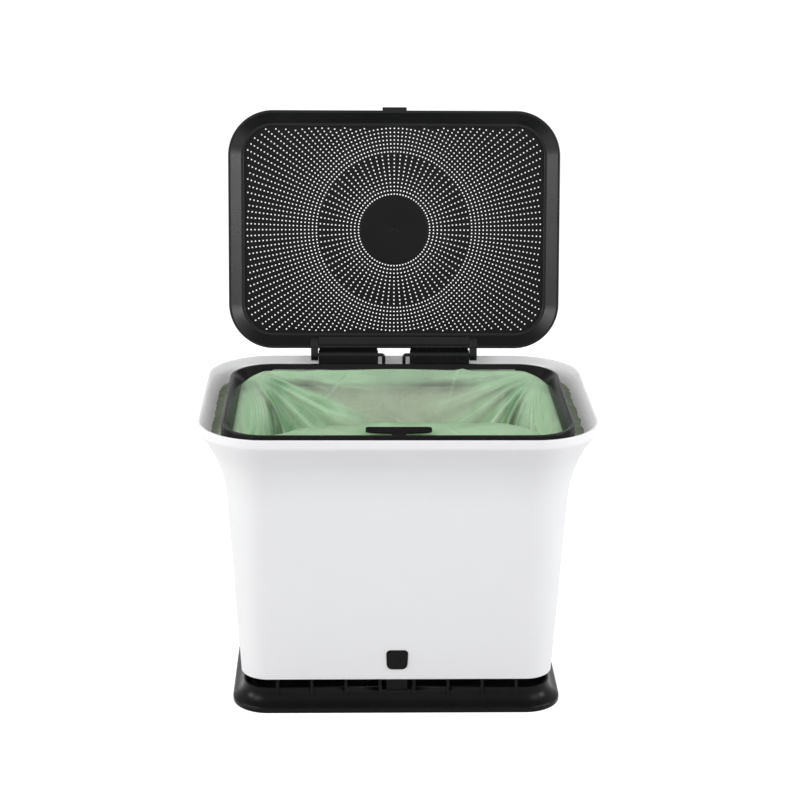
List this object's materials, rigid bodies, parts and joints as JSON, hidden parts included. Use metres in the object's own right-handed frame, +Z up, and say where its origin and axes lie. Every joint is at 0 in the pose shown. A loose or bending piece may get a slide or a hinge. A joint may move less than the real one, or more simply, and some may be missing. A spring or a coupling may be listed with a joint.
{
  "type": "kitchen compost bin",
  "caption": "Kitchen compost bin with a flared sleeve, a vented base, a bag held under a flip-up ring, and an open perforated lid.",
  "frame": {"origin": "on the floor, at the middle of the base's footprint", "axes": "+X right seen from the front, +Y to the back, +Z up; the front faces -Y"},
  "size_m": [0.2852, 0.2441, 0.4107],
  "materials": {
    "black_plastic": "satin black moulded polypropylene",
    "white_plastic": "satin white moulded polypropylene",
    "green_film": "translucent green compostable film",
    "black_steel": "black-coated steel rod"
  },
  "bodies": {
    "bin": {"base": "black_plastic", "outer_shell": "white_plastic", "inner_frame": "black_plastic", "liner_bag": "green_film", "hinge_pin_left": "black_steel", "hinge_pin_right": "black_steel"},
    "ring": {"liner_ring": "black_plastic"},
    "lid": {"lid_frame": "black_plastic", "lid_screen": "black_plastic"},
    "latch": {"release_latch": "black_plastic"}
  },
  "joints": [
    {"name": "ring_flip", "type": "hinge", "parent": "bin", "child": "ring", "pos_m": [0, 0.0975, 0.2206], "axis": [-1, 0, 0], "range_deg": [0, 48]},
    {"name": "lid_hinge", "type": "hinge", "parent": "ring", "child": "lid", "pos_m": [0, 0.0975, 0.2206], "axis": [1, 0, 0], "range_deg": [0, 101.35]},
    {"name": "latch_press", "type": "hinge", "parent": "bin", "child": "latch", "pos_m": [0, -0.0756, 0.0158], "axis": [-1, 0, 0], "range_deg": [0, 9], "stiffness_Nm_per_rad": 1}
  ]
}
